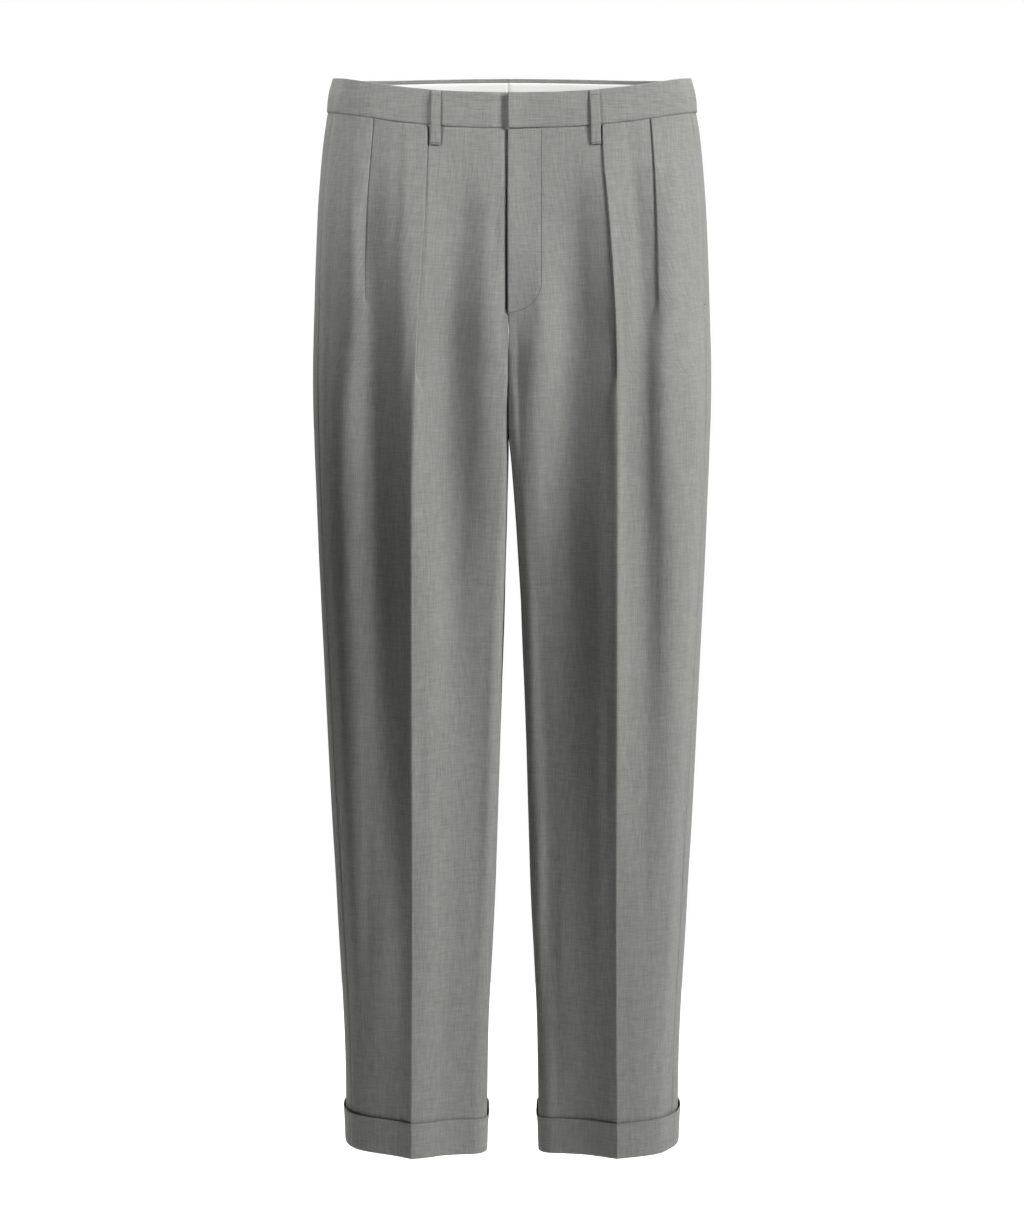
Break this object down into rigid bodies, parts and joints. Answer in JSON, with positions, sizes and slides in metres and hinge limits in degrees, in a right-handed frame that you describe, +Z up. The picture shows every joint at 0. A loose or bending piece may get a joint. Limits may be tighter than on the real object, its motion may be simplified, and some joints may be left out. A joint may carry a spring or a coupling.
{
  "type": "pleated dress trousers",
  "caption": "Trousers with pleats at the waist, straight creased legs, turn-ups, belt loops, side pockets and a covered fly, held open at the waist as if worn.",
  "frame": {"origin": "middle of the waist opening, half way up the waistband at the sides", "axes": "+Z up, the wearer's front faces -Y, +X to the wearer's left"},
  "size_m": [0.385, 0.2614, 1.0531],
  "materials": {
    "wool_cloth": "matt mid-grey heathered worsted wool, fine slub",
    "lining_cloth": "off-white cotton waistband lining, matt"
  },
  "bodies": {
    "root": {"front_left": "wool_cloth", "front_right": "wool_cloth", "back_left": "wool_cloth", "back_right": "wool_cloth", "pocket_facing_left": "wool_cloth", "pocket_facing_right": "wool_cloth", "fly_shield": "wool_cloth", "waistband_left": "wool_cloth", "waistband_right": "wool_cloth", "waistband_lining_left": "lining_cloth", "waistband_lining_right": "lining_cloth", "cuff_left": "wool_cloth", "cuff_right": "wool_cloth", "loop_front_left": "wool_cloth", "loop_front_right": "wool_cloth", "loop_side_left": "wool_cloth", "loop_side_right": "wool_cloth", "loop_back_left": "wool_cloth", "loop_back_right": "wool_cloth"}
  },
  "joints": []
}
